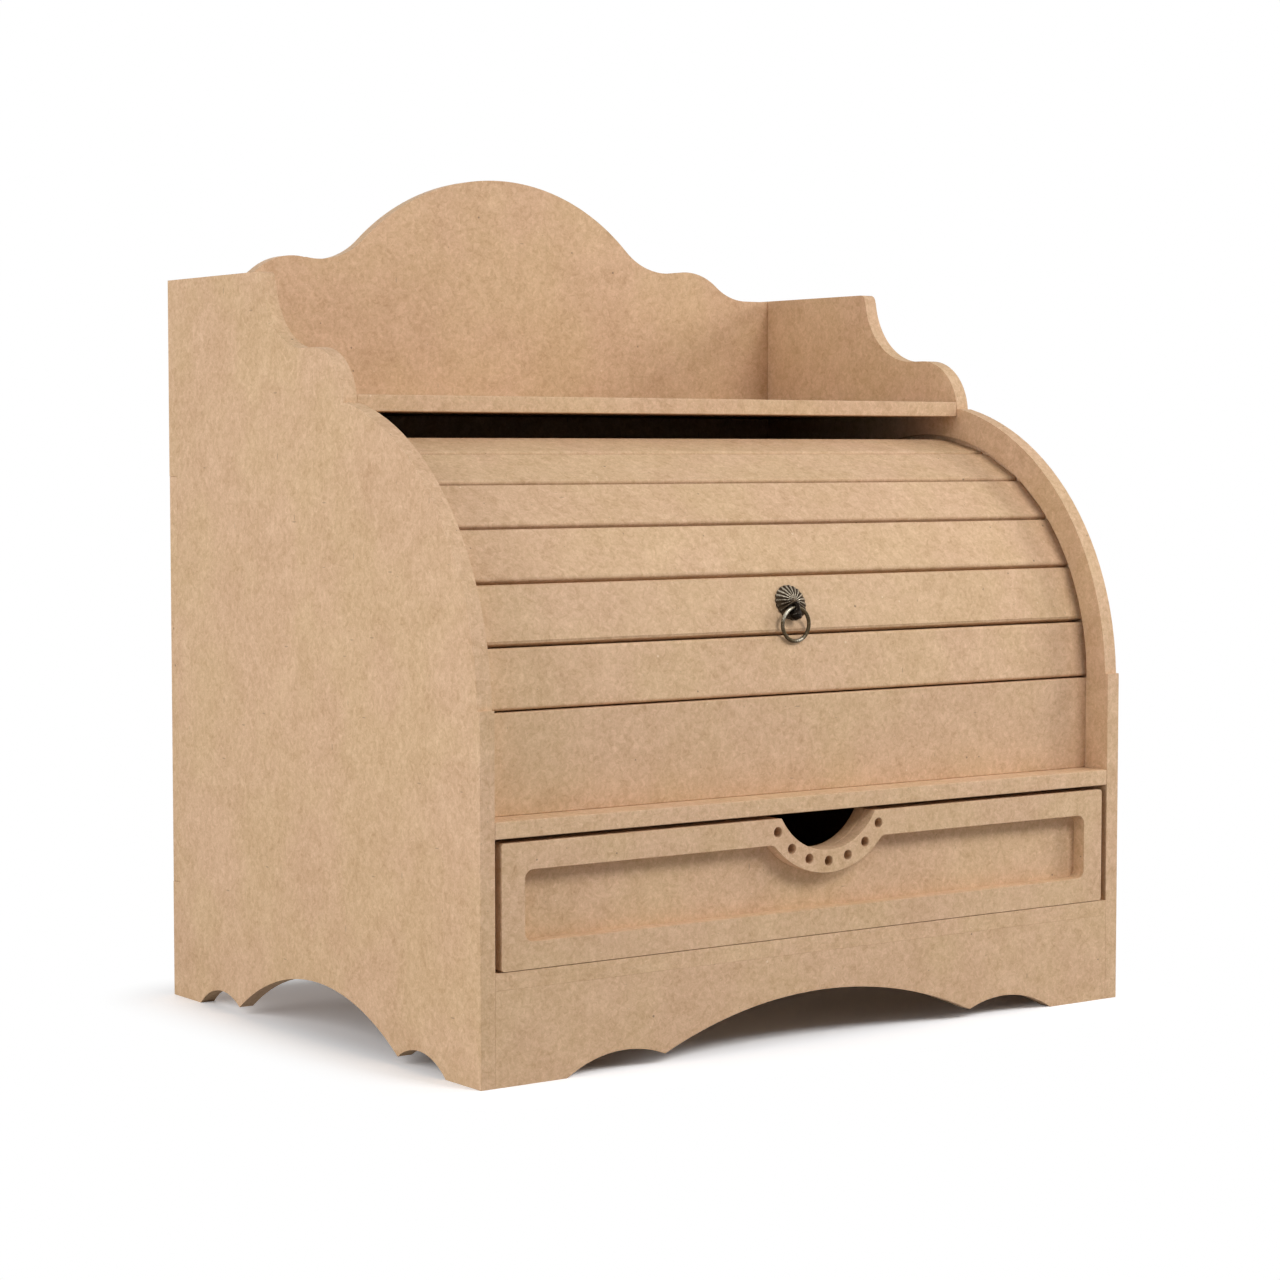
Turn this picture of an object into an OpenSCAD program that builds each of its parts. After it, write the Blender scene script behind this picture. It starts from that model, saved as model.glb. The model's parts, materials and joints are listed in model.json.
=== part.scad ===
// Tambour lid box: a board case with a roll-back slatted lid over a deep
// compartment, a drawer below it and an open gallery shelf on top.
// Millimetres. X is the width, the front faces -Y, Z is up. The origin is the
// middle of the footprint at floor level.

/* [Case] */
// Outside width of the case
case_w = 400; // [330:5:560]
// Depth from the front edges to the back edges
case_d = 300; // [292:2:400]
// Height of the side panels
side_h = 378; // [368:2:480]
// Thickness of the case boards
board_t = 8; // [6:0.5:12]
// How far the crest rises above the side panels
crest_rise = 61.5; // [50:0.5:90]

/* [Levels] */
// Height of the front apron below the bottom board
apron_h = 44.5; // [34:0.5:60]
// Clear height of the drawer bay
bay_h = 61; // [48:0.5:90]
// Height of the fixed board in front of the compartment
front_board_h = 47.5; // [30:0.5:70]
// Gap between the top of the lid and the top shelf
shelf_gap = 11.9; // [4:0.1:20]
// Set-back of the top shelf from the front edges
shelf_set = 119.4; // [105:0.1:125]
// Set-back of the fixed front board
front_board_set = 16.5; // [10:0.5:18]
// Distance from the crest's back face to the back edges
crest_inset = 4; // [0:0.5:6]
// Drop from the top shelf to the top of the back board
back_drop = 32.5; // [28:0.5:40]
// Height of the back board's bottom edge ears above the bottom board
ear_lift = 8.5; // [4:0.5:20]

/* [Side outline] */
// Set-back of the curved edge where it leaves the straight one
curve_step = 2; // [0:0.5:6]
// Reach of the curve's lower handle
curve_low = 69; // [55:1:75]
// Reach of the curve's upper handle
curve_high = 67; // [50:1:70]
// Slope of the curve where it leaves the front edge, in degrees
curve_a0 = 88; // [76:1:89]
// Slope of the curve where it meets the top shelf, in degrees
curve_a1 = 13; // [4:1:15]
// Radius of the shoulder in front of the gallery
shoulder_r = 29.5; // [24:0.5:34]
// Height of the shoulder above the top shelf
shoulder_rise = 23.2; // [18:0.2:30]
// Radius of the cove above the shoulder
cove_r = 40; // [30:1:46]
// Set-back of the gallery's upright edge
tower_set = 198.5; // [190:0.5:215]
// Radius of the rounded corner at the gallery's top
corner_r = 4; // [1:0.5:8]

/* [Scallops] */
// Height of the arch under each side panel
side_arch_h = 28.3; // [18:0.1:34]
// Radius of the arch under each side panel
side_arch_r = 135.8; // [125:0.1:160]
// Height of the small scallops under each side panel
side_lobe_h = 9.6; // [6:0.1:14]
// Radius of the small scallops under each side panel
side_lobe_r = 33.8; // [28:0.1:40]
// Distance from the middle to the small scallops of a side panel
side_lobe_x = 96.5; // [90:0.5:104]
// Height of the arch under the apron
apron_arch_h = 25.4; // [16:0.1:32]
// Radius of the arch under the apron
apron_arch_r = 237; // [200:1:300]
// Height of the small scallops under the apron
apron_lobe_h = 9.5; // [6:0.1:14]
// Radius of the small scallops under the apron
apron_lobe_r = 61.7; // [50:0.1:70]
// Distance from the middle to the small scallops of the apron
apron_lobe_x = 119.7; // [112:0.1:128]

/* [Crest] */
// Radius of the crest's crown
crown_r = 125; // [110:1:150]
// Distance from the side panel to the bottom of the dip beside the crown
dip_in = 76; // [70:1:84]
// Height of the dip above the side panels
dip_rise = 14; // [10:0.5:20]
// Distance from the side panel to the top of the small bump
bump_in = 61; // [56:1:66]
// Height of the small bump above the side panels
bump_rise = 15.2; // [12:0.1:22]
// Distance from the side panel to the start of the crest's flat end
flat_in = 17; // [12:1:22]
// Drop of the crest's flat ends below the side panels' top
flat_drop = 0.5; // [0:0.1:3]

/* [Lid] */
// Radius from the lid's axis to the slats' backs
curtain_r = 118.1; // [100:0.1:121]
// Set-back of the slats' front edges at their foremost
curtain_set = 18.1; // [16:0.1:20]
// Width of a slat
slat_w = 28.6; // [24:0.1:30]
// Thickness of a slat
slat_t = 8; // [5:0.5:9]
// Gap between neighbouring slats at the canvas
slat_gap = 0.2; // [0.1:0.05:1]
// Bevel along the slats' outer edges
slat_ease = 1; // [0.2:0.1:1.5]
// Thickness of the canvas that the slats are glued to
canvas_t = 0.7; // [0.5:0.1:1.2]
// Distance from the canvas to each side panel
canvas_margin = 8; // [4:0.5:20]
// Distance from the canvas's ends to the lid's lower and upper edges
canvas_hem = 2; // [1:0.5:8]
// Depth of the tracks in the side panels
track_depth = 4; // [3:0.1:5]
// Play outside the slats in the track
track_play_out = 2.1; // [0.5:0.1:3]
// Play inside the slats in the track
track_play_in = 0.5; // [0.3:0.1:1]
// Play at each end of a slat
slat_end_play = 0.6; // [0.3:0.1:1.5]
// How far the lid turns back, in degrees
open_angle = 54; // [40:1:56]

/* [Drawer] */
// Play between the drawer and each side panel
drawer_side_play = 3.6; // [0.5:0.1:5]
// Play under the drawer
drawer_low_play = 0.3; // [0.3:0.1:1]
// Play above the drawer
drawer_top_play = 2.2; // [0.5:0.1:4]
// Play between the closed drawer and the back board
drawer_back_play = 0.5; // [0.3:0.1:2]
// Thickness of each of the drawer's boards
drawer_t = 8; // [5:0.5:10]
// Thickness of the drawer's bottom panel
drawer_bottom_t = 4; // [3:0.5:6]
// Drop of the drawer's sides and back below its front
drawer_drop = 6; // [2:0.5:14]
// Width of the frame around the front's window
frame_border = 12.7; // [9:0.1:18]
// Radius of the window's corners
window_r = 4.5; // [2:0.5:8]
// Radius of the finger notch
notch_r = 33.6; // [28:0.1:40]
// Height of the notch's centre above the drawer front
notch_up = 16.2; // [10:0.1:22]
// Offset of the notch from the middle, to the right
notch_x = 3; // [-10:0.5:10]
// Width of the rim around the notch
rim_w = 11.2; // [9:0.1:14]
// Radius of the holes in the rim
hole_r = 2.5; // [1.5:0.1:3.5]
// Distance from the notch's edge to the holes' centres
hole_in = 5.4; // [4.5:0.1:6]
// Angle between neighbouring holes, in degrees
hole_step = 18.2; // [14:0.1:20]
// Number of holes on each side of the middle one
hole_side = 3; // [1:1:3]

/* [Ring pull] */
// Slat that carries the pull, counted from the front board
pull_slat = 2; // [1:1:3]
// Offset of the pull from the middle, to the right
pull_x = 0; // [-20:0.5:20]
// Radius of the rosette plate
plate_r = 9.3; // [7:0.1:12]
// Height of the rosette plate's domed middle
plate_h = 4; // [3:0.1:4.4]
// Height of the rosette plate at its rim
rim_h = 0.8; // [0.5:0.1:1.4]
// Number of flutes around the rosette
flutes = 20; // [12:1:28]
// Depth of the scallops in the rosette's rim
flute_depth = 0.35; // [0.1:0.05:0.6]
// Gap between the hanging ring and the slat below the pull
ring_gap = 0.4; // [0.3:0.1:2]
// Offset of the ring's eye from the middle of the rosette, to the right
eye_x = -2.3; // [-3:0.1:3]
// Drop of the ring's axis below the middle of the slat
eye_drop = 4.4; // [2:0.1:5]
// Outer radius of the eye
eye_r = 2.9; // [2.6:0.1:3.4]
// Width of the eye
eye_w = 3.4; // [2.5:0.1:4.5]
// Radius of the knuckle below the eye
knuckle_r = 2.8; // [2.4:0.1:3]
// Radius of the ring at the middle of its wire
ring_r = 8.25; // [6.5:0.05:9]
// Radius of the ring's wire
wire_r = 0.95; // [0.8:0.05:1.4]
// Play of the wire in the eye
eye_play = 0.5; // [0.3:0.05:0.8]
// Radius of the post's threaded tail
tail_r = 1.45; // [1:0.05:2]
// Play around the tail
tail_play = 0.1; // [0.05:0.05:0.3]
// Width of the nut across its flats
nut_af = 5.5; // [4.5:0.1:7]
// Thickness of the nut
nut_t = 2.2; // [1.6:0.1:3]

/* [Hidden] */
arc_steps = 24;
track_steps = 90;
slat_count = 9;

// Levels, from the floor up
bottom_top = apron_h + board_t;
bay_top = bottom_top + bay_h;
shelf_top = bay_top + board_t;
axis_z = shelf_top + front_board_h;
slat_face_r = curtain_r + slat_t;
slat_corner_r = sqrt(pow(slat_face_r, 2) + pow(slat_w / 2, 2));
gallery_z = axis_z + slat_corner_r + shelf_gap;
gallery_top = gallery_z + board_t;
back_top = gallery_z - back_drop;
crest_top = side_h + crest_rise;

// Places across the width and the depth, counted from the front edges
inner_x = case_w / 2 - board_t;
back_y = case_d - board_t;
crest_y = case_d - crest_inset - board_t;
axis_y = curtain_set + slat_corner_r;
track_in_r = curtain_r - track_play_in;
track_out_r = slat_corner_r + track_play_out;
slat_half = inner_x + track_depth - slat_end_play;
pitch = 2 * atan((slat_w + slat_gap) / 2 / curtain_r);
track_end = slat_count * pitch + open_angle + 0.5;

// Drawer
drawer_x = inner_x - drawer_side_play;
drawer_z = bottom_top + drawer_low_play;
front_h = bay_h - drawer_low_play - drawer_top_play;
front_d = 2 * drawer_t;
drawer_end = back_y - drawer_back_play;
drawer_side_h = front_h - drawer_drop;
front_corner_r = 1.5;
notch_at = [notch_x, drawer_z + front_h + notch_up];

// Ring pull, measured on its slat: out from the lid's axis, and up the slat
pull_angle = (pull_slat - 0.5) * pitch;
below_angle = pull_angle - pitch;
ring_reach = (slat_face_r + ring_gap + wire_r + 2 * ring_r * sin(below_angle)
              - eye_drop * sin(pitch)) / cos(pitch);
eye_at = [max(ring_reach, slat_face_r + plate_h + 2), -eye_drop];
eye_hole_r = wire_r + eye_play;
stem_r = 2;
tail_root = 0.5;
tail_end = nut_t + canvas_t + 1;
dome_rise = plate_h - rim_h;
dome_r = (pow(plate_r, 2) + pow(dome_rise, 2)) / (2 * dome_rise);
dome_base = slat_face_r + plate_h - dome_r;
stem_base = dome_base + sqrt(pow(dome_r, 2)
                             - pow(max(0, norm([eye_x, eye_drop]) - stem_r), 2));
knuckle_play = 0.1;
knuckle_drop = eye_drop + 3.1;
knuckle_at = [dome_base + sqrt(pow(dome_r + knuckle_r + knuckle_play, 2)
                              - pow(norm([eye_x, knuckle_drop]), 2)),
              -knuckle_drop];

function slat_name(i) = str("tambour_slat_", i);

// ---- outlines ----

function arc(c, r, a0, a1, n = arc_steps) =
    [for (i = [0:n]) let (a = a0 + (a1 - a0) * i / n) c + r * [cos(a), sin(a)]];

function bezier(p0, p1, p2, p3, n = arc_steps) =
    [for (i = [0:n]) let (t = i / n, s = 1 - t)
        pow(s, 3) * p0 + 3 * s * s * t * p1 + 3 * s * t * t * p2 + pow(t, 3) * p3];

// A point at radius r from the lid's axis, a degrees up from the front
function around(r, a) = [axis_y - r * cos(a), axis_z + r * sin(a)];

// A point on the slat that faces angle a: n out from the axis, u up the slat
function on_slat(a, n, u) =
    [axis_y - n * cos(a) + u * sin(a), axis_z + n * sin(a) + u * cos(a)];

// Scalloped lower edge, left to right: small lobe, arch, small lobe
module scallops(mid, arch_h, arch_r, lobe_h, lobe_r, lobe_x) {
    translate([mid, arch_h - arch_r]) circle(r = arch_r, $fn = 180);
    for (s = [-1, 1])
        translate([mid + s * lobe_x, lobe_h - lobe_r]) circle(r = lobe_r, $fn = 96);
}

// Outline of a side panel in Y and Z, before its lower edge is scalloped
function side_outline() = let (
        notch = [shelf_set - 3, gallery_z + board_t / 2],
        start = [curve_step, axis_z + 3],
        ledge = gallery_top + shoulder_rise,
        shoulder = [shelf_set - 0.4 + shoulder_r, ledge - shoulder_r],
        cove = [tower_set - cove_r, ledge + cove_r],
        cove_end = asin(min(0, (side_h - corner_r - cove[1]) / cove_r)))
    concat(
        [[0, 0], [0, start[1]]],
        bezier(start, start + curve_low * [cos(curve_a0), sin(curve_a0)],
               notch - curve_high * [cos(curve_a1), sin(curve_a1)], notch),
        arc(shoulder, shoulder_r, 180 + asin((shoulder[1] - notch[1]) / shoulder_r), 90),
        arc(cove, cove_r, -90, cove_end),
        arc([tower_set + corner_r, side_h - corner_r], corner_r, 180, 90),
        [[case_d, side_h], [case_d, back_top], [back_y, back_top],
         [back_y, bottom_top + ear_lift], [case_d, bottom_top + ear_lift], [case_d, 0]]);

// Track of the slats in a side panel, with the slot of the fixed front board
module track_outline() {
    polygon(concat(
        [for (i = [0:track_steps]) around(track_out_r, track_end * i / track_steps)],
        [for (i = [track_steps:-1:0]) around(track_in_r, track_end * i / track_steps)]));
    translate([front_board_set, shelf_top]) square([board_t, front_board_h]);
}

// Half of the crest's top edge, from the middle to the side panel
function crest_half() = let (
        crown = [0, crest_top - crown_r],
        dip = [inner_x - dip_in, side_h + dip_rise],
        rise = dip[1] - crown[1],
        dip_r = (pow(dip[0], 2) + pow(rise, 2) - pow(crown_r, 2)) / (2 * (crown_r - rise)),
        meet = atan2(rise + dip_r, dip[0]),
        bump = [inner_x - bump_in, side_h + bump_rise],
        flat = [inner_x - flat_in, side_h - flat_drop],
        fall = bump[1] - flat[1],
        run = flat[0] - bump[0],
        s_r = (pow(run, 2) + pow(fall, 2)) / (4 * fall),
        s_a = asin(run / 2 / s_r),
        dip_a = asin(min(0.35, (bump[0] - dip[0]) / 2 / dip_r)))
    concat(
        arc(crown, crown_r, 90, meet),
        arc(dip + [0, dip_r], dip_r, 180 + meet, 270 + dip_a),
        arc(bump - [0, s_r], s_r, 90 + min(12, s_a), 90 - s_a),
        arc(flat + [0, s_r], s_r, 270 - s_a, 270),
        [[inner_x, flat[1]]]);

// ---- boards ----

// Lays a front-view outline in the case, y0 behind the front edges, t thick
module upright(y0, t) {
    translate([0, y0 + t - case_d / 2, 0]) rotate([90, 0, 0]) linear_extrude(t) children();
}

// Stretches a side-view outline of Y and Z from x0 to x1
module across(x0, x1) {
    translate([x0, -case_d / 2, 0]) rotate([90, 0, 90]) linear_extrude(x1 - x0) children();
}

// A flat board between the side panels, from depth y0 to y1
module shelf(y0, y1, z0, t = board_t) {
    translate([-inner_x, y0 - case_d / 2, z0]) cube([2 * inner_x, y1 - y0, t]);
}

// s is -1 for the left panel and 1 for the right one
module side_panel(s) {
    x0 = s < 0 ? -case_w / 2 : inner_x;
    track_x = s < 0 ? -inner_x - track_depth : inner_x - 1;
    difference() {
        across(x0, x0 + board_t) difference() {
            polygon(side_outline());
            scallops(case_d / 2, side_arch_h, side_arch_r, side_lobe_h, side_lobe_r, side_lobe_x);
        }
        across(track_x, track_x + track_depth + 1) track_outline();
    }
}

module side_panel_left() {
    color("#c9a27a") side_panel(-1);
}

module side_panel_right() {
    color("#c9a27a") side_panel(1);
}

module bottom_board() {
    color("#cba67f") shelf(0, case_d, apron_h);
}

module middle_shelf() {
    color("#cba67f") shelf(0, back_y, bay_top);
}

module top_shelf() {
    color("#d2ad86") shelf(shelf_set, crest_y, gallery_z);
}

// The back board stands on the bottom board. Its ears fill the side rebates.
module back_board() {
    color("#c19a72") upright(back_y, board_t) {
        translate([-inner_x, bottom_top]) square([2 * inner_x, back_top - bottom_top]);
        translate([-case_w / 2, bottom_top + ear_lift])
            square([case_w, back_top - bottom_top - ear_lift]);
    }
}

module crest_board() {
    half = crest_half();
    last = len(half) - 1;
    color("#c8a179") upright(crest_y, board_t) polygon(concat(
        half,
        [[inner_x, back_top], [-inner_x, back_top]],
        [for (i = [last:-1:1]) [-half[i][0], half[i][1]]]));
}

module front_apron() {
    color("#cda880") upright(0, board_t) difference() {
        translate([-inner_x, 0]) square([2 * inner_x, apron_h]);
        scallops(0, apron_arch_h, apron_arch_r, apron_lobe_h, apron_lobe_r, apron_lobe_x);
    }
}

module front_board() {
    x = inner_x + track_depth;
    color("#cda880") across(-x, x)
        translate([front_board_set, shelf_top]) square([board_t, front_board_h]);
}

// ---- drawer ----

module drawer_front_outline() {
    translate([-drawer_x + front_corner_r, drawer_z + front_corner_r])
        offset(r = front_corner_r, $fn = 24)
            square([2 * (drawer_x - front_corner_r), front_h - 2 * front_corner_r]);
}

module notch_outline(r) {
    translate(notch_at) circle(r = r, $fn = 120);
}

// Window in the front frame: rounded corners, with the notch's rim left standing
module window_outline() {
    w = 2 * (drawer_x - frame_border);
    h = front_h - 2 * frame_border;
    offset(r = window_r, $fn = 32) offset(delta = -window_r) difference() {
        translate([-w / 2, drawer_z + frame_border]) square([w, h]);
        notch_outline(notch_r + rim_w);
    }
}

module drawer_front_frame() {
    color("#d3ae87") difference() {
        upright(0, drawer_t) difference() {
            drawer_front_outline();
            window_outline();
            notch_outline(notch_r);
        }
        for (i = [-hole_side:hole_side]) let (a = -90 + i * hole_step, r = notch_r + hole_in)
            translate([notch_at[0] + r * cos(a), -case_d / 2 - 1, notch_at[1] + r * sin(a)])
                rotate([-90, 0, 0]) cylinder(r = hole_r, h = drawer_t + 2, $fn = 32);
    }
}

module drawer_front_panel() {
    color("#cda880") upright(drawer_t, drawer_t) difference() {
        drawer_front_outline();
        notch_outline(notch_r);
    }
}

module drawer_side(s) {
    x0 = s < 0 ? -drawer_x : drawer_x - drawer_t;
    translate([x0, front_d - case_d / 2, drawer_z])
        cube([drawer_t, drawer_end - front_d, drawer_side_h]);
}

module drawer_side_left() {
    color("#c9a27a") drawer_side(-1);
}

module drawer_side_right() {
    color("#c9a27a") drawer_side(1);
}

module drawer_back() {
    x = drawer_x - drawer_t;
    color("#c9a27a") translate([-x, drawer_end - drawer_t - case_d / 2, drawer_z])
        cube([2 * x, drawer_t, drawer_side_h]);
}

module drawer_bottom() {
    x = drawer_x - drawer_t;
    color("#b98f66") translate([-x, front_d - case_d / 2, drawer_z])
        cube([2 * x, drawer_end - drawer_t - front_d, drawer_bottom_t]);
}

// ---- lid ----

// Turns a piece drawn on the pull's slat into place: X across the slat, Y up it
// and Z out of its face, from the lid's axis
module on_pull_slat() {
    translate([pull_x, axis_y - case_d / 2, axis_z]) rotate([90 - pull_angle, 0, 0]) children();
}

module tail_hole() {
    translate([eye_x, eye_at[1], curtain_r - canvas_t - 1])
        cylinder(r = tail_r + tail_play, h = slat_t + canvas_t + plate_h + 2, $fn = 32);
}

module slat(i) {
    a = (i - 0.5) * pitch;
    half = slat_w / 2;
    across(-slat_half, slat_half) polygon([
        on_slat(a, curtain_r, -half), on_slat(a, slat_face_r - slat_ease, -half),
        on_slat(a, slat_face_r, slat_ease - half), on_slat(a, slat_face_r, half - slat_ease),
        on_slat(a, slat_face_r - slat_ease, half), on_slat(a, curtain_r, half)]);
}

module tambour_slat(i) {
    color("#d0aa82") difference() {
        slat(i);
        if (i == pull_slat) on_pull_slat() tail_hole();
    }
}

// The canvas's line at radius r, bent where two slats meet
function canvas_line(r) = let (reach = slat_w / 2 - canvas_hem) concat(
    [on_slat(pitch / 2, r, -reach)],
    [for (i = [1:slat_count - 1]) around(r / cos(pitch / 2), i * pitch)],
    [on_slat((slat_count - 0.5) * pitch, r, reach)]);

module tambour_canvas() {
    x = inner_x - canvas_margin;
    inner = canvas_line(curtain_r - canvas_t);
    color("#d9d2bf") difference() {
        across(-x, x) polygon(concat(
            canvas_line(curtain_r), [for (i = [len(inner) - 1:-1:0]) inner[i]]));
        on_pull_slat() tail_hole();
    }
}

// ---- ring pull ----

// Domed rosette with a scalloped rim, on the face of its slat
module pull_plate() {
    color("#5a4a36") on_pull_slat() difference() {
        intersection() {
            translate([0, 0, slat_face_r]) linear_extrude(plate_h) polygon(
                [for (i = [0:8 * flutes - 1]) let (a = i * 45 / flutes)
                    (plate_r - flute_depth * (0.5 + 0.5 * cos(a * flutes))) * [cos(a), sin(a)]]);
            translate([0, 0, dome_base]) sphere(r = dome_r, $fn = 96);
        }
        tail_hole();
    }
}

// Eye, knuckle and stem with the tail that passes through the slat
module pull_post() {
    color("#4d3f2e") on_pull_slat() translate([eye_x, 0, 0]) difference() {
        union() {
            translate([-eye_w / 2, eye_at[1], eye_at[0]]) rotate([0, 90, 0])
                cylinder(r = eye_r, h = eye_w, $fn = 48);
            translate([0, knuckle_at[1], knuckle_at[0]]) sphere(r = knuckle_r, $fn = 48);
            translate([0, eye_at[1], stem_base])
                cylinder(r = stem_r, h = eye_at[0] - stem_base, $fn = 32);
            translate([0, eye_at[1], curtain_r - tail_end])
                cylinder(r = tail_r, h = stem_base + tail_root - curtain_r + tail_end, $fn = 32);
        }
        translate([-eye_w, eye_at[1], eye_at[0]]) rotate([0, 90, 0])
            cylinder(r = eye_hole_r, h = 2 * eye_w, $fn = 48);
    }
}

// The ring hangs straight down from the eye
module pull_ring() {
    eye = on_slat(pull_angle, eye_at[0], eye_at[1]);
    color("#8a7350") translate([pull_x + eye_x, eye[0] - case_d / 2, eye[1] - ring_r])
        rotate([90, 0, 0]) rotate_extrude($fn = 96) translate([ring_r, 0]) circle(r = wire_r, $fn = 32);
}

module pull_nut() {
    color("#8f8f8a") on_pull_slat() translate([eye_x, eye_at[1], curtain_r - canvas_t - nut_t])
        difference() {
            cylinder(r = nut_af / 2 / cos(30), h = nut_t, $fn = 6);
            translate([0, 0, -1]) cylinder(r = tail_r + 0.05, h = nut_t + 2, $fn = 32);
        }
}

side_panel_left();
side_panel_right();
bottom_board();
middle_shelf();
top_shelf();
back_board();
crest_board();
front_apron();
front_board();
drawer_front_frame();
drawer_front_panel();
drawer_side_left();
drawer_side_right();
drawer_back();
drawer_bottom();
for (i = [1:slat_count]) tambour_slat(i);
tambour_canvas();
pull_plate();
pull_post();
pull_ring();
pull_nut();
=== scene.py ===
"""Looks of the tambour lid box: raw fibreboard, a slatted lid on canvas and a ring
pull of antique brass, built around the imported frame. Lengths are in metres."""

import json
import math

import bmesh
import bpy
from mathutils import Matrix, Vector


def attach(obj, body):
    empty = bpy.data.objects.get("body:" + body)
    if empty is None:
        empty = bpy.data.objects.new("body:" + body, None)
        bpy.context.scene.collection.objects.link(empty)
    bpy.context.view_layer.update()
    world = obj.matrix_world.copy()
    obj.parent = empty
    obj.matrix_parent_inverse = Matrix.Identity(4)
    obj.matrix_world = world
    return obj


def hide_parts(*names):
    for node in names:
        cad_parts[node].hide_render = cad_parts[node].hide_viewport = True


MM = 0.001

# Camera, as fitted to the photograph
IMAGE_PX = 1280
FOCAL_PX = 3001.9
CAMERA_AT = (-0.9286, -1.2779, 0.2884)
CAMERA_AZIMUTH = 35.93
CAMERA_DIP = 3.59
SENSOR_MM = 36

# Colour of the raw board, linear
BOARD = (0.625, 0.418, 0.255)
# Dark fibres are warmer than light ones
DEEPEN = (0.8, 1.0, 1.3)
# Contrast of the board's fibres, from fine to wide
FLUFF, FIBRES, PATCHES, CLOUDS = 0.66, 0.72, 0.41, 0.2
# Brightness of the pale and the dark layers in a cut edge
EDGE_PALE, EDGE_DARK = 1.03, 0.98365

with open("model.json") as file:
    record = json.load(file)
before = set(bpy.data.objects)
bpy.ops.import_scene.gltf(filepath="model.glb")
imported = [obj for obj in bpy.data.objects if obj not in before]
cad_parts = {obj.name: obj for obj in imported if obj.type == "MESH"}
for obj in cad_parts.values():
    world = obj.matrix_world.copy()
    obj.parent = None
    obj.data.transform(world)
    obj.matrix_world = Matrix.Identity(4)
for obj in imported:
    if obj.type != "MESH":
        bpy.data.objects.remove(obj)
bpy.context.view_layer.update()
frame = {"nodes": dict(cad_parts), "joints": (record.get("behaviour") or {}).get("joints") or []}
nodes = frame["nodes"]
hinge_at = {joint["name"]: Vector(joint["pos_m"]) for joint in frame["joints"] if "pos_m" in joint}

# The lid, as in the CAD source. Radii are measured from the lid's axis
CURTAIN_R = 118.1 * MM
SLAT_W = 28.6 * MM
SLAT_GAP = 0.2 * MM
SLAT_T = 8 * MM
SLAT_FACE_R = CURTAIN_R + SLAT_T
SLAT_COUNT = 9
SLAT_PITCH = 2 * math.atan((SLAT_W + SLAT_GAP) / 2 / CURTAIN_R)
CANVAS_T = 0.7 * MM
CANVAS_HALF = 184 * MM
CANVAS_HEM = 2 * MM

# The pull, as in the CAD source. It sits in the middle of the second slat
PULL_ANGLE = 1.5 * SLAT_PITCH
# The ring's eye, in mm right of the rosette's middle and above it
EYE = (-2.3, -4.4)
RING_R = 8.25 * MM
WIRE_R = 0.95 * MM


# ---- shader nodes ----

class Shader:
    """A node tree that is built by short calls. An input is a plain value or another
    node's output, and an input is named by its name or its number."""

    def __init__(self, tree):
        self.tree = tree
        self.nodes = tree.nodes
        self.nodes.clear()

    def add(self, kind, output=0, inputs=None, **settings):
        node = self.nodes.new("ShaderNode" + kind)
        for name, value in settings.items():
            setattr(node, name, value)
        for name, value in (inputs or {}).items():
            if isinstance(value, bpy.types.NodeSocket):
                self.tree.links.new(value, node.inputs[name])
            else:
                node.inputs[name].default_value = value
        return node.outputs[output]

    def math(self, operation, *values, clamp=False):
        return self.add("Math", inputs=dict(enumerate(values)), operation=operation,
                        use_clamp=clamp)

    def vector(self, operation, *values, output=0):
        return self.add("VectorMath", output, dict(enumerate(values)), operation=operation)

    def noise(self, at, scale, detail=2.0, roughness=0.5, distortion=0.0):
        return self.add("TexNoise", inputs={
            "Vector": at, "Scale": scale, "Detail": detail, "Roughness": roughness,
            "Distortion": distortion})

    def ramp(self, value, low, high, to_low=0.0, to_high=1.0):
        """value taken from low..high to to_low..to_high, and held there outside."""
        return self.add("MapRange", inputs={
            "Value": value, "From Min": low, "From Max": high,
            "To Min": to_low, "To Max": to_high}, interpolation_type="SMOOTHSTEP")

    def mix(self, share, a, b):
        """Colour a, turning into colour b as share goes from 0 to 1."""
        node = self.nodes.new("ShaderNodeMix")
        node.data_type = "RGBA"
        for name, value in ((0, share), (6, a), (7, b)):
            if isinstance(value, bpy.types.NodeSocket):
                self.tree.links.new(value, node.inputs[name])
            elif name:
                node.inputs[name].default_value = (*value, 1.0)
            else:
                node.inputs[name].default_value = value
        return node.outputs[2]

    def surface(self, shader):
        out = self.nodes.new("ShaderNodeOutputMaterial")
        self.tree.links.new(shader, out.inputs["Surface"])


def new_material(name):
    material = bpy.data.materials.new(name)
    material.use_nodes = True
    return material, Shader(material.node_tree)


def scaled(colour, share):
    return tuple(channel * share for channel in colour)


# ---- fibreboard ----

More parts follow.
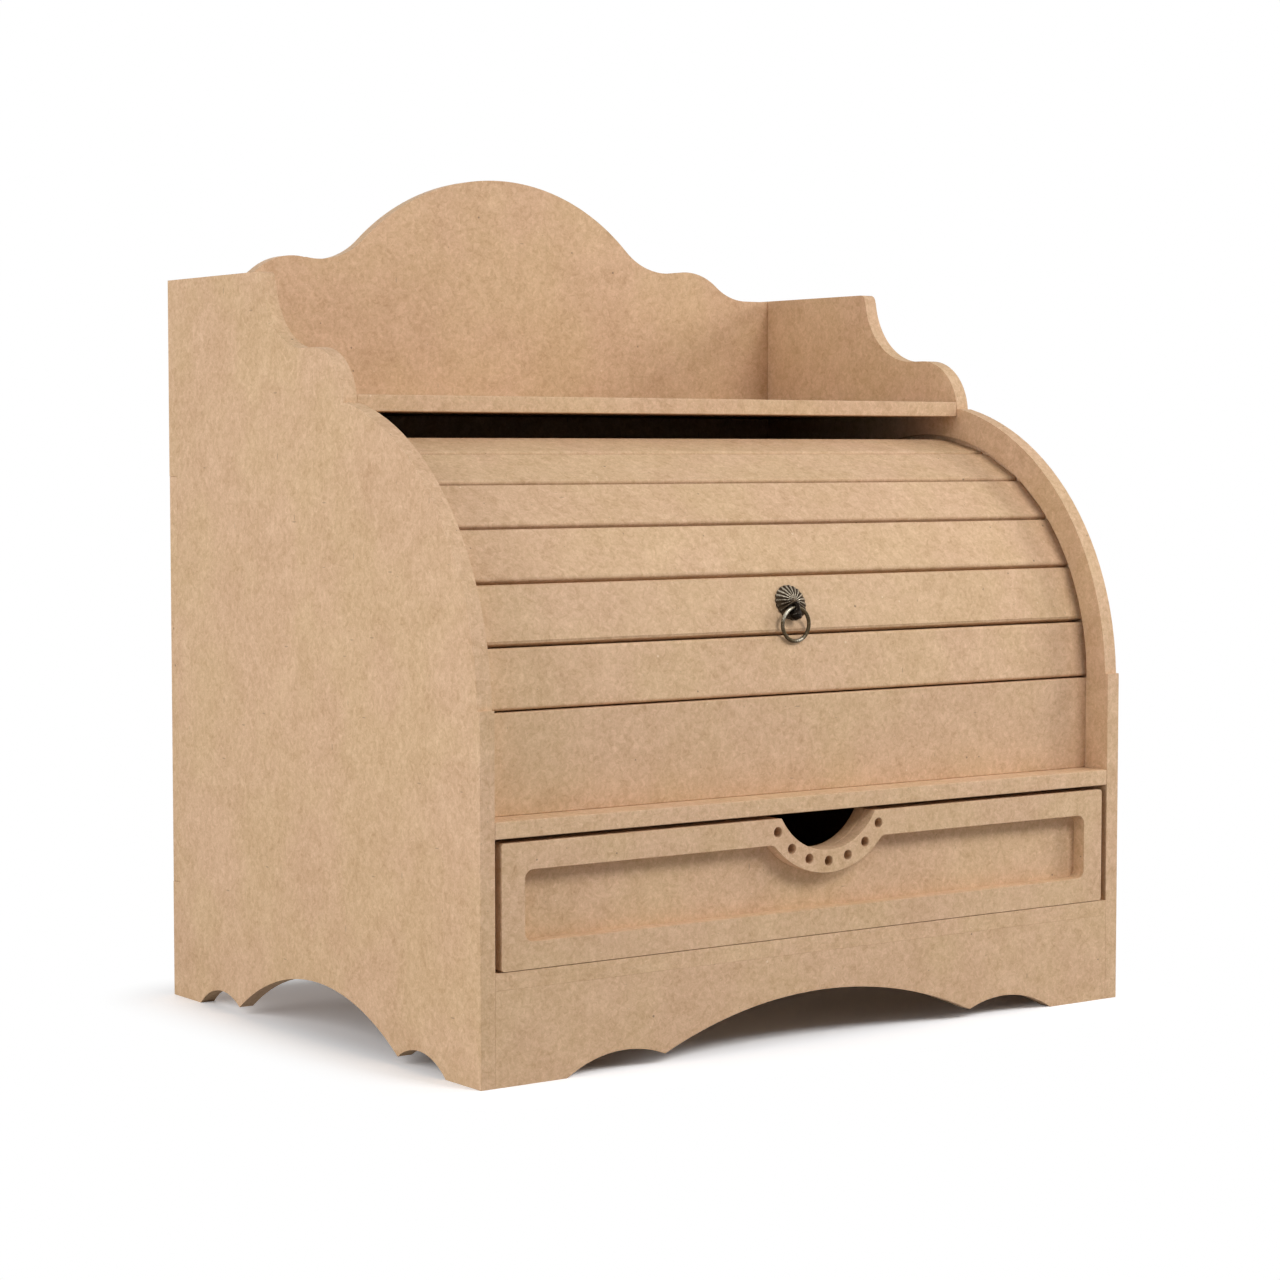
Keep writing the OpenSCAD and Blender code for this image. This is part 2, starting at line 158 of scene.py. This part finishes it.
def fibreboard(name, colour, thick, shift):
    """Raw sanded board. thick is the axis of the board's thickness, 0 to 2, so that cut
    edges differ from faces, and shift moves the pattern so that boards differ."""
    material, s = new_material(name)
    place = s.add("TexCoord", output="Object")
    at = s.vector("ADD", place, shift)
    normal = s.add("TexCoord", output="Normal")
    axes = s.nodes.new("ShaderNodeSeparateXYZ")
    s.tree.links.new(normal, axes.inputs[0])
    facing = s.math("ABSOLUTE", axes.outputs[thick])
    edge = s.ramp(facing, 0.75, 0.45)

    # Pressed fibres, from the finest fluff to wide clouds
    fluff = s.noise(at, 1150.0, 4.0, 0.8, 1.2)
    fibres = s.noise(at, 330.0, 2.0, 0.75, 0.9)
    patches = s.noise(at, 85.0, 2.0, 0.7, 0.4)
    clouds = s.noise(at, 11.0, 3.0, 0.6)
    tone = 0.0
    for value, strength in (
            (fluff, FLUFF), (fibres, FIBRES), (patches, PATCHES), (clouds, CLOUDS)):
        tone = s.math("MULTIPLY_ADD", s.math("SUBTRACT", value, 0.5), strength, tone)
    pink = (colour[0] * 1.01, colour[1] * 0.993, colour[2] * 1.012)
    yellow = (colour[0] * 0.995, colour[1] * 1.005, colour[2] * 0.972)
    base = s.mix(s.ramp(s.noise(at, 19.0, 2.0, 0.5), 0.35, 0.65), yellow, pink)
    base = s.vector("MULTIPLY", base, s.vector("MULTIPLY_ADD", tone, DEEPEN, (1.0, 1.0, 1.0)))

    # Bark specks, fine and coarse, pale chips, and dark splinters lying both ways
    squeeze = [[1.0, 1.0, 1.0], [1.0, 1.0, 1.0]]
    squeeze[0][(thick + 1) % 3] = squeeze[1][(thick + 2) % 3] = 0.22
    dark, pale = scaled(colour, 0.34), (0.86, 0.70, 0.50)
    for flat, scale, radius, rarity, share, tint in (
            ((1.0, 1.0, 1.0), 110.0, 0.085, 0.35, 0.75, dark),
            ((1.0, 1.0, 1.0), 270.0, 0.10, 0.45, 0.5, dark),
            ((1.0, 1.0, 1.03), 95.0, 0.075, 0.6, 0.55, pale),
            ((1.0, 1.03, 1.0), 240.0, 0.11, 0.6, 0.4, pale),
            (squeeze[0], 150.0, 0.07, 0.55, 0.45, dark),
            (squeeze[1], 150.0, 0.07, 0.55, 0.45, dark)):
        mask = speck_mask(s, s.vector("MULTIPLY", at, flat), scale, radius, rarity)
        base = s.mix(s.math("MULTIPLY", mask, share), base, tint)

    # A cut edge shows the layers of the board
    stretch = [1.0, 1.0, 1.0]
    stretch[thick] = 9.0
    layers = s.noise(s.vector("MULTIPLY", at, stretch), 160.0, 3.0, 0.6)
    cut = s.mix(s.ramp(layers, 0.35, 0.65), scaled_node(s, base, EDGE_DARK),
                scaled_node(s, base, EDGE_PALE))
    base = s.mix(edge, base, cut)

    height = s.math("ADD", s.math("MULTIPLY", fluff, 0.5), s.math("MULTIPLY", fibres, 0.5))
    bump = s.add("Bump", inputs={"Strength": 0.3, "Distance": 0.2 * MM, "Height": height})
    rough = s.ramp(patches, 0.3, 0.7, 0.72, 0.82)
    s.surface(s.add("BsdfPrincipled", inputs={
        "Base Color": base, "Roughness": rough, "Specular IOR Level": 0.28, "Normal": bump}))
    return material


def scaled_node(s, colour, share):
    """A colour node's output times share."""
    return s.vector("MULTIPLY", colour, (share, share, share))


def speck_mask(s, at, scale, radius, rarity):
    """Round specks in cells of a size of 1 / scale, in the share of cells above rarity."""
    cells = s.nodes.new("ShaderNodeTexVoronoi")
    s.tree.links.new(at, cells.inputs["Vector"])
    cells.inputs["Scale"].default_value = scale
    pick = s.nodes.new("ShaderNodeSeparateColor")
    s.tree.links.new(cells.outputs["Color"], pick.inputs[0])
    size = s.ramp(pick.outputs[0], rarity, 1.0, 0.0, radius)
    near = s.math("SUBTRACT", size, cells.outputs["Distance"])
    return s.ramp(near, 0.0, radius * 0.4)


# ---- metal and cloth ----

def antique_metal(name, dark, bright, roughness):
    """Patina in hollows, rubbed metal on ridges, and painted shade and highlights: a vertex
    attribute says where.
    """
    material, s = new_material(name)
    at = s.add("TexCoord", output="Object")
    wear_and_painted_light = s.nodes.new("ShaderNodeAttribute")
    wear_and_painted_light.attribute_name = "wear_and_painted_light"
    mottle = s.noise(at, 1400.0, 3.0, 0.6)
    share = s.math("ADD", wear_and_painted_light.outputs["Fac"], s.ramp(mottle, 0.3, 0.7, -0.14, 0.14), clamp=True)
    colour = s.mix(s.ramp(share, 0.15, 0.85), dark, bright)
    rough = s.ramp(share, 0.0, 1.0, roughness + 0.16, roughness)
    fine = s.noise(at, 3500.0, 2.0, 0.6)
    bump = s.add("Bump", inputs={"Strength": 0.25, "Distance": 0.05 * MM, "Height": fine})
    s.surface(s.add("BsdfPrincipled", inputs={
        "Base Color": colour, "Metallic": 1.0, "Roughness": rough, "Normal": bump}))
    return material


def zinc_metal():
    """Bright plating of the nut, faintly mottled."""
    material, s = new_material("zinc")
    at = s.add("TexCoord", output="Object")
    tone = s.ramp(s.noise(at, 900.0, 3.0, 0.6), 0.3, 0.7)
    colour = s.mix(tone, (0.42, 0.42, 0.41), (0.58, 0.58, 0.56))
    s.surface(s.add("BsdfPrincipled", inputs={
        "Base Color": colour, "Metallic": 1.0, "Roughness": s.ramp(tone, 0.0, 1.0, 0.45, 0.32)}))
    return material


def canvas_cloth():
    """Unbleached plain weave. The attribute cloth holds the place across and along it."""
    material, s = new_material("canvas")
    thread = 2 * math.pi / (0.9 * MM)
    place = s.nodes.new("ShaderNodeAttribute")
    place.attribute_name = "cloth"
    axes = s.nodes.new("ShaderNodeSeparateXYZ")
    s.tree.links.new(place.outputs["Vector"], axes.inputs[0])
    across = s.math("SINE", s.math("MULTIPLY", axes.outputs[0], thread))
    along = s.math("SINE", s.math("MULTIPLY", axes.outputs[1], thread))
    weave = s.math("MULTIPLY", across, along)
    slub = s.noise(s.vector("MULTIPLY", place.outputs["Vector"], (1.0, 12.0, 1.0)), 70.0, 3.0)
    colour = s.mix(s.ramp(weave, -1.0, 1.0), (0.44, 0.385, 0.285), (0.63, 0.575, 0.455))
    colour = s.mix(s.ramp(slub, 0.4, 0.75, 0.0, 0.4), colour, (0.70, 0.65, 0.53))
    bump = s.add("Bump", inputs={"Strength": 0.6, "Distance": 0.15 * MM, "Height": weave})
    s.surface(s.add("BsdfPrincipled", inputs={
        "Base Color": colour, "Roughness": 0.92, "Specular IOR Level": 0.15, "Normal": bump}))
    return material


# ---- finish of the CAD boards ----

def dress(node, material, ease=0.5 * MM, segments=2, limit=50):
    """Gives a CAD node its material and sands its arrises round, with modifiers only."""
    piece = nodes[node]
    piece.data.materials.clear()
    piece.data.materials.append(material)
    weld = piece.modifiers.new("weld", "WELD")
    weld.merge_threshold = 0.002 * MM
    plane = piece.modifiers.new("plane", "DECIMATE")
    plane.decimate_type = "DISSOLVE"
    plane.angle_limit = math.radians(0.2)
    bevel = piece.modifiers.new("ease", "BEVEL")
    bevel.width = ease
    bevel.segments = segments
    bevel.limit_method = "ANGLE"
    bevel.angle_limit = math.radians(limit)
    bevel.miter_outer = "MITER_ARC"
    smooth = piece.modifiers.new("smooth", "NODES")
    smooth.node_group = smooth_group()
    normals = piece.modifiers.new("normals", "WEIGHTED_NORMAL")
    normals.keep_sharp = True


def smooth_group(limit=48):
    """Geometry nodes that shade smooth across edges flatter than limit degrees."""
    name = f"smooth_{limit}"
    if name in bpy.data.node_groups:
        return bpy.data.node_groups[name]
    group = bpy.data.node_groups.new(name, "GeometryNodeTree")
    group.interface.new_socket("Geometry", in_out="INPUT", socket_type="NodeSocketGeometry")
    group.interface.new_socket("Geometry", in_out="OUTPUT", socket_type="NodeSocketGeometry")
    start = group.nodes.new("NodeGroupInput")
    end = group.nodes.new("NodeGroupOutput")
    angle = group.nodes.new("GeometryNodeInputMeshEdgeAngle")
    below = group.nodes.new("FunctionNodeCompare")
    below.operation = "LESS_THAN"
    below.inputs[1].default_value = math.radians(limit)
    faces = group.nodes.new("GeometryNodeSetShadeSmooth")
    edges = group.nodes.new("GeometryNodeSetShadeSmooth")
    edges.domain = "EDGE"
    link = group.links.new
    link(start.outputs[0], faces.inputs["Geometry"])
    link(faces.outputs[0], edges.inputs["Geometry"])
    link(angle.outputs["Unsigned Angle"], below.inputs[0])
    link(below.outputs[0], edges.inputs["Shade Smooth"])
    link(edges.outputs[0], end.inputs[0])
    return group


def add_piece(name, body, material, verts, faces, place=None, wear_and_painted_light=None, limit=48):
    """A mesh piece that rides on a body. The wear list, rubbed metal together with painted shade
    and painted highlights, is one number from 0 to 1 for each vertex.
    """
    mesh = bpy.data.meshes.new(name)
    mesh.from_pydata(verts, [], faces)
    if wear_and_painted_light:
        mesh.attributes.new("wear_and_painted_light", "FLOAT", "POINT").data.foreach_set("value", wear_and_painted_light)
    if place:
        mesh.transform(place)
    outward(mesh)
    mesh.materials.append(material)
    piece = bpy.data.objects.new(name, mesh)
    bpy.context.scene.collection.objects.link(piece)
    smooth = piece.modifiers.new("smooth", "NODES")
    smooth.node_group = smooth_group(limit)
    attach(piece, body)
    return piece


def outward(mesh):
    """Turns all faces of a closed mesh outwards."""
    work = bmesh.new()
    work.from_mesh(mesh)
    bmesh.ops.recalc_face_normals(work, faces=work.faces)
    work.to_mesh(mesh)
    work.free()


def loft(rows, ring=False):
    """Vertices and faces of a closed skin over rows of points, each row a closed loop. The
    last row joins the first if ring is set, or else both end rows get a cap."""
    count = len(rows[0])
    verts = [tuple(point) for row in rows for point in row]
    faces = []
    for i in range(len(rows) if ring else len(rows) - 1):
        below, above = i * count, (i + 1) % len(rows) * count
        for j in range(count):
            k = (j + 1) % count
            faces.append((below + j, below + k, above + k, above + j))
    if not ring:
        for i, row in ((0, rows[0]), (len(rows) - 1, rows[-1])):
            middle = len(verts)
            verts.append(tuple(sum((Vector(point) for point in row), Vector()) / count))
            start = i * count
            faces += [(start + j, start + (j + 1) % count, middle) for j in range(count)]
    return verts, faces


def ease_in(value, low, high):
    """0 below low, 1 above high, and a smooth step between."""
    share = min(max((value - low) / (high - low), 0.0), 1.0)
    return share * share * (3 - 2 * share)


def settled(piece):
    """Applies the piece's modifiers to its mesh."""
    graph = bpy.context.evaluated_depsgraph_get()
    mesh = bpy.data.meshes.new_from_object(piece.evaluated_get(graph))
    piece.modifiers.clear()
    piece.data = mesh
    return mesh


# Boards by the axis of their thickness. The others are thick along Y
THICK_X = ("side_panel_left", "side_panel_right", "drawer_side_left", "drawer_side_right")
THICK_Z = ("bottom_board", "middle_shelf", "top_shelf", "drawer_bottom")
SLATS = [name for name in sorted(nodes) if name.startswith("tambour_slat_")]
METAL = ("pull_plate", "pull_post", "pull_ring", "pull_nut")
# Flush neighbours, whose joint shows as a thin line
TIGHT = ("front_apron", "bottom_board")


def dress_boards():
    """Gives every board its own shift and tone of the same fibreboard."""
    boards = [name for name in sorted(nodes) if name not in METAL + ("tambour_canvas",)]
    for count, name in enumerate(boards):
        thick = 0 if name in THICK_X else 2 if name in THICK_Z else 1
        shift = (0.37 * count, 0.61 * count, 0.23 * count)
        tone = 1.0 + 0.012 * math.sin(2.4 * count)
        material = fibreboard(f"board_{name}", scaled(BOARD, tone), thick, shift)
        if name in SLATS:
            dress(name, material, 0.65 * MM, 3, 30)
        else:
            dress(name, material, 0.15 * MM if name in TIGHT else 0.5 * MM)


# ---- ring pull ----

def on_slat(angle):
    """Frame on the lid at that angle: X across, Y up along the slat, Z out from the axis."""
    return (Matrix.Translation(hinge_at["lid_roll"])
            @ Matrix.Rotation(math.pi / 2 - angle, 4, "X"))


def circle_of(count):
    """Angles of that many points on a full circle."""
    return [2 * math.pi * j / count for j in range(count)]


def rosette(material):
    """Domed rosette with scallop flutes that run out to a scalloped rim."""
    flutes, outer, dome_r, rise = 20, 9.3 * MM, 15.1 * MM, 4.0 * MM
    angles = circle_of(flutes * 14)

    def crown(angle):
        across = 2 * ((angle * flutes / (2 * math.pi)) % 1.0) - 1
        return 1 - abs(across) ** 1.7

    def surface(share, angle):
        lobe = crown(angle)
        reach = share * (outer - 0.5 * MM * (1 - lobe) * ease_in(share, 0.5, 1.0))
        top = rise - dome_r + math.sqrt(dome_r ** 2 - reach ** 2)
        return reach, top - 0.55 * MM * (1 - lobe) * ease_in(share, 0.0, 0.6)

    steps = 28
    rows, wear_and_painted_light = [], []
    for step in range(1, steps + 1):
        share = step / steps
        row = [surface(share, angle) for angle in angles]
        rows.append([(reach * math.cos(a), reach * math.sin(a), SLAT_FACE_R + top)
                     for a, (reach, top) in zip(angles, row)])
        for a in angles:
            # Ridges rubbed bright and patina in the hollows; the lower side, where the lug and
            # ring cast shadow, is darkened as painted shade
            lower = ease_in(-math.sin(a + 0.25), -0.35, 0.5)
            fade = ease_in(share, 0.0, 0.3)
            wear_and_painted_light.append((0.2 + 0.36 * crown(a) ** 2.2 * fade) * (1 - 0.6 * lower)
                        - 0.25 * (1 - crown(a)) * fade)
    for inset, height in ((0.0, 0.16), (0.12, 0.0)):
        rows.append([((surface(1, a)[0] - inset * MM) * math.cos(a),
                      (surface(1, a)[0] - inset * MM) * math.sin(a),
                      SLAT_FACE_R + height * MM) for a in angles])
        wear_and_painted_light += [0.1] * len(angles)
    verts, faces = loft(rows)
    wear_and_painted_light = [min(max(value, 0.0), 1.0) for value in wear_and_painted_light] + [0.3, 0.1]
    piece = add_piece("rosette", "lid", material, verts, faces,
                      on_slat(PULL_ANGLE), wear_and_painted_light, 70)
    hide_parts("pull_plate")


# Lug of the pull, in the slat's frame and in mm: height, distance from the slat's face,
# and half widths across and outwards
LUG = ((-1.5, 6.12, 0.5, 0.9), (-1.85, 6.12, 0.9, 1.8), (-2.9, 6.12, 1.2, 2.55),
       (-4.4, 6.12, 1.35, 2.85), (-5.7, 5.96, 1.7, 2.65), (-6.7, 5.66, 2.35, 2.5),
       (-7.4, 5.41, 2.85, 2.75), (-7.9, 5.26, 3.05, 2.85), (-8.3, 5.21, 2.95, 2.75),
       (-8.5, 5.16, 2.5, 2.4), (-9.1, 5.16, 2.4, 2.3), (-9.8, 5.16, 1.8, 1.75),
       (-10.25, 5.16, 0.8, 0.8))
# Grid of the remesh that melts the lug and its stem into one casting
VOXEL_MM = 0.11


def post(material):
    """Cast lug with an eye, on a stem with a collar and a threaded tail."""
    eye_u = EYE[1]
    eye_n = (on_slat(PULL_ANGLE).inverted() @ hinge_at["ring_swing"]).z / MM
    turn = circle_of(40)
    face = SLAT_FACE_R / MM
    rows = [[(half_x * math.cos(a), u, face + n + half_n * math.sin(a)) for a in turn]
            for u, n, half_x, half_n in LUG]
    shapes = [loft(rows)]
    stem = ((2.0, 1.6), (2.9, 2.6), (3.5, 2.7), (3.8, 2.3), (4.1, 1.7), (5.6, 1.7))
    shapes.append(loft([[(r * math.cos(a), eye_u + r * math.sin(a), face + n) for a in turn]
                        for n, r in stem]))
    verts, faces = [], []
    for more, more_faces in shapes:
        faces += [tuple(index + len(verts) for index in corners) for corners in more_faces]
        verts += more
    piece = add_piece("post", "lid", material, verts, faces)
    piece.modifiers.clear()

    hole = bpy.data.meshes.new("eye_hole")
    bore = ((-3.0, 2.5), (-1.4, 1.7), (-0.9, 1.48), (0.9, 1.48), (1.4, 1.7), (3.0, 2.5))
    hole_verts, hole_faces = loft(
        [[(x, eye_u + r * math.cos(a), eye_n + r * math.sin(a)) for a in turn]
         for x, r in bore])
    hole.from_pydata(hole_verts, [], hole_faces)
    outward(hole)
    cutter = bpy.data.objects.new("eye_hole", hole)
    bpy.context.scene.collection.objects.link(cutter)
    for kind in ("REMESH", "BOOLEAN", "REMESH", "SMOOTH"):
        step = piece.modifiers.new(kind, kind)
        if kind == "REMESH":
            step.mode = "VOXEL"
            step.voxel_size = VOXEL_MM
        elif kind == "BOOLEAN":
            step.operation = "DIFFERENCE"
            step.solver = "EXACT"
            step.object = cutter
        else:
            step.factor, step.iterations = 0.5, 5
    mesh = settled(piece)
    bpy.data.objects.remove(cutter)

    wear_and_painted_light = []
    for vertex in mesh.vertices:
        x, u, n = vertex.co
        # The bright band on the lip is a painted highlight; the rubbed rims of the eye are wear
        lip = math.exp(-((u + 7.9) / 0.35) ** 2)
        rim = math.exp(-((math.hypot(u - eye_u, n - eye_n) - 2.2) / 0.35) ** 2)
        wear_and_painted_light.append(min(0.05 + 0.16 * lip + 0.15 * rim * (abs(x) > 1.0), 1.0))
    verts = [tuple(vertex.co) for vertex in mesh.vertices]
    faces = [tuple(polygon.vertices) for polygon in mesh.polygons]
    tail, tail_faces = threaded_tail(eye_u)
    faces += [tuple(index + len(verts) for index in corners) for corners in tail_faces]
    verts += tail
    wear_and_painted_light += [0.5] * len(tail)
    bpy.data.objects.remove(piece)
    place = on_slat(PULL_ANGLE) @ Matrix.Translation((EYE[0] * MM, 0, 0)) @ Matrix.Scale(MM, 4)
    piece = add_piece("post", "lid", material, verts, faces, place, wear_and_painted_light)
    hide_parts("pull_post")


def threaded_tail(eye_u):
    """Screw thread below the collar, in mm, as one skin with a turning ridge."""
    turn = circle_of(32)
    face = SLAT_FACE_R / MM
    low, high, pitch, radius, depth = face - 11.9, face + 2.6, 0.5, 1.45, 0.26
    rows, n = [], low
    while n <= high:
        cut = ease_in(n, low, low + 0.5) * (1 - ease_in(n, high - 1.6, high - 1.1))
        row = []
        for a in turn:
            lane = ((n - low) / pitch - a / (2 * math.pi)) % 1.0
            tip = 0.35 * (1 - ease_in(n, low - 0.1, low + 0.4))
            r = radius - depth * cut * abs(2 * lane - 1) - tip
            row.append((r * math.cos(a), eye_u + r * math.sin(a), n))
        rows.append(row)
        n += pitch / 6
    return loft(rows)


def ring(material):
    """Ring of round wire that hangs from the eye. It has painted highlights at its upper left and
    just right of its foot, brighter on the wire's front."""
    centre = hinge_at["ring_swing"] - Vector((0, 0, RING_R))
    rows, wear_and_painted_light = [], []
    for a in circle_of(144):
        rows.append([])
        # Painted highlights: bright at the upper left and just right of the foot, more on the
        # wire's front side
        left = math.exp(-((a - math.radians(136)) / 0.5) ** 2)
        foot = math.exp(-((a - math.radians(288)) / 0.42) ** 2)
        for b in circle_of(28):
            reach = RING_R + WIRE_R * math.cos(b)
            rows[-1].append(centre + Vector((reach * math.cos(a), -WIRE_R * math.sin(b),
                                             reach * math.sin(a))))
            front = 0.5 + 0.5 * math.sin(b)
            wear_and_painted_light.append(min(0.16 + 0.5 * max(left, 0.6 * foot) * (0.55 + 0.45 * front), 1.0))
    verts, faces = loft(rows, ring=True)
    piece = add_piece("ring", "ring", material, verts, faces, wear_and_painted_light=wear_and_painted_light)
    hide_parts("pull_ring")


def nut(material):
    """Hexagon nut with chamfered corners, in mm, on the cloth inside the lid."""
    flat, bore, thick, chamfer = 2.75, 1.5, 2.2, 0.25
    top = CURTAIN_R / MM - CANVAS_T / MM
    low = top - thick
    turn = circle_of(72)
    face = 0.94 * flat
    slope = math.tan(math.radians(30))

    def side(a):
        return flat / math.cos((a + math.pi / 6) % (math.pi / 3) - math.pi / 6)

    def at(a, radius, height):
        return EYE[0] + radius * math.cos(a), EYE[1] + radius * math.sin(a), height

    def plain(radius, height):
        return [at(a, radius, height) for a in turn]

    def hexagon(height, inwards):
        return [at(a, side(a), height + inwards * slope * (side(a) - face)) for a in turn]

    rows = [plain(bore + chamfer, low), plain(bore, low + chamfer),
            plain(bore, top - chamfer), plain(bore + chamfer, top),
            plain(face, top), hexagon(top, -1), hexagon(low, 1), plain(face, low)]
    verts, faces = loft(rows, ring=True)
    piece = add_piece("nut", "lid", material, verts, faces,
                      on_slat(PULL_ANGLE) @ Matrix.Scale(MM, 4), limit=25)
    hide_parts("pull_nut")


# ---- canvas ----

def canvas(material):
    """The cloth that joins the slats, flat on each and bent at every joint between them."""
    rows_across = 46
    rows = [canvas_line(CURTAIN_R - 0.02 * MM), canvas_line(CURTAIN_R - CANVAS_T)]
    steps = len(rows[0])
    verts, cloth, faces = [], [], []
    for i in range(rows_across + 1):
        x = CANVAS_HALF * (2 * i / rows_across - 1)
        for row in rows:
            length, last = 0.0, row[0]
            for point in row:
                length += (point - last).length
                last = point
                verts.append((x, point.y, point.z))
                cloth += (x, length, 0.0)

    def at(i, side, j):
        return (i * 2 + side) * steps + j

    for i in range(rows_across):
        for j in range(steps - 1):
            faces.append((at(i, 0, j), at(i + 1, 0, j), at(i + 1, 0, j + 1), at(i, 0, j + 1)))
            faces.append((at(i, 1, j), at(i, 1, j + 1), at(i + 1, 1, j + 1), at(i + 1, 1, j)))
        for j in (0, steps - 1):
            faces.append((at(i, 0, j), at(i, 1, j), at(i + 1, 1, j), at(i + 1, 0, j)))
    for i in (0, rows_across):
        for j in range(steps - 1):
            faces.append((at(i, 0, j), at(i, 0, j + 1), at(i, 1, j + 1), at(i, 1, j)))
    piece = add_piece("canvas", "lid", material, verts, faces, limit=30)
    attribute = piece.data.attributes.new("cloth", "FLOAT_VECTOR", "POINT")
    attribute.data.foreach_set("vector", cloth)
    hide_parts("tambour_canvas")


def canvas_line(radius):
    """Points along the cloth at that distance from the axis."""
    steps = 6
    points = []
    reach = SLAT_W / 2 - CANVAS_HEM
    for slat in range(SLAT_COUNT):
        place = on_slat((slat + 0.5) * SLAT_PITCH)
        half = radius * math.tan(SLAT_PITCH / 2)
        low = -reach if slat == 0 else -half
        high = reach if slat == SLAT_COUNT - 1 else half
        for step in range(0 if slat == 0 else 1, steps + 1):
            points.append(place @ Vector((0, low + (high - low) * step / steps, radius)))
    return points


# ---- light, floor, camera ----

# The floor keeps its whole shadow inside this half width and half depth, and loses it
# over the reach outside them
SHADOW_CORE = (0.18, 0.13, 0.0)
SHADOW_REACH = 0.07


def soft_light(name, at, aim, size, power):
    """A rectangular lamp of that many metres and watts."""
    lamp = bpy.data.lights.new(name, "AREA")
    lamp.shape = "RECTANGLE"
    lamp.size, lamp.size_y = size
    lamp.energy = power
    holder = bpy.data.objects.new(name, lamp)
    holder.location = at
    holder.rotation_euler = (Vector(aim) - Vector(at)).to_track_quat("-Z", "Y").to_euler()
    bpy.context.scene.collection.objects.link(holder)


def studio():
    """Soft lamps all round, the strongest in front on the right."""
    middle = (0, 0, 0.2)
    soft_light("left_low_box", (-1.8, -0.2, 0.35), middle, (1.2, 0.7), 12.7)
    soft_light("left_high_box", (-1.6, -0.1, 1.1), middle, (1.2, 0.8), 8.6)
    soft_light("right_box", (1.7, -0.9, 0.9), middle, (0.7, 0.7), 15.6)
    soft_light("back_box", (0.5, 1.9, 0.9), middle, (1.2, 0.8), 14.0)
    soft_light("key_box", (0.5, -1.55, 1.5), middle, (0.7, 0.7), 20.8)


def seen_directly(s):
    """1 for the rays of the camera, of reflections and through glass."""
    path = s.nodes.new("ShaderNodeLightPath")
    seen = s.math("MAXIMUM", path.outputs["Is Camera Ray"], path.outputs["Is Glossy Ray"])
    return s.math("MAXIMUM", seen, path.outputs["Is Transmission Ray"])


def white_world(strength):
    """White for the camera and in reflections, and a soft fill for the rest."""
    world = bpy.data.worlds.new("studio")
    bpy.context.scene.world = world
    world.use_nodes = True
    s = Shader(world.node_tree)
    level = s.ramp(seen_directly(s), 0.0, 1.0, strength, 1.0)
    out = s.nodes.new("ShaderNodeOutputWorld")
    ground = s.add("Background", inputs={"Color": (1, 1, 1, 1), "Strength": level})
    s.tree.links.new(ground, out.inputs["Surface"])


def floor():
    """White sweep: it takes the box's shadow and clears to plain white away from it."""
    mesh = bpy.data.meshes.new("floor")
    reach = 12.0
    corners = [(-reach, -reach, 0), (reach, -reach, 0), (reach, reach, 0), (-reach, reach, 0)]
    mesh.from_pydata(corners, [], [(0, 1, 2, 3)])
    plane = bpy.data.objects.new("floor", mesh)
    bpy.context.scene.collection.objects.link(plane)
    material, s = new_material("floor")
    seen = seen_directly(s)
    place = s.add("TexCoord", output="Object")
    outside = s.vector("SUBTRACT", s.vector("ABSOLUTE", place), SHADOW_CORE)
    outside = s.vector("MAXIMUM", outside, (0.0, 0.0, 0.0))
    away = s.vector("LENGTH", outside, output="Value")
    clear = s.math("MULTIPLY", s.ramp(away, 0.0, SHADOW_REACH), seen)
    colour = s.mix(seen, (0.5, 0.5, 0.5), (1.22, 1.22, 1.24))
    paper = s.add("BsdfDiffuse", inputs={"Color": colour})
    light = s.add("Emission", inputs={"Color": (1, 1, 1, 1)})
    s.surface(s.add("MixShader", inputs={0: clear, 1: paper, 2: light}))
    mesh.materials.append(material)


def camera():
    """The photograph's view."""
    lens = bpy.data.cameras.new("camera")
    lens.sensor_width = SENSOR_MM
    lens.lens = FOCAL_PX / IMAGE_PX * SENSOR_MM
    lens.clip_start, lens.clip_end = 0.05, 50
    eye = bpy.data.objects.new("camera", lens)
    eye.location = CAMERA_AT
    eye.rotation_euler = (math.radians(90 - CAMERA_DIP), 0, math.radians(-CAMERA_AZIMUTH))
    bpy.context.scene.collection.objects.link(eye)
    bpy.context.scene.camera = eye
    bpy.context.scene.view_settings.view_transform = "Standard"


camera()
floor()
studio()
white_world(0.2)
dress_boards()
rosette(antique_metal("antique_brass", (0.040, 0.026, 0.015), (0.55, 0.48, 0.37), 0.34))
post(antique_metal("dark_brass", (0.011, 0.008, 0.006), (0.50, 0.44, 0.36), 0.34))
ring(antique_metal("ring_brass", (0.062, 0.043, 0.022), (0.52, 0.48, 0.39), 0.34))
nut(zinc_metal())
canvas(canvas_cloth())
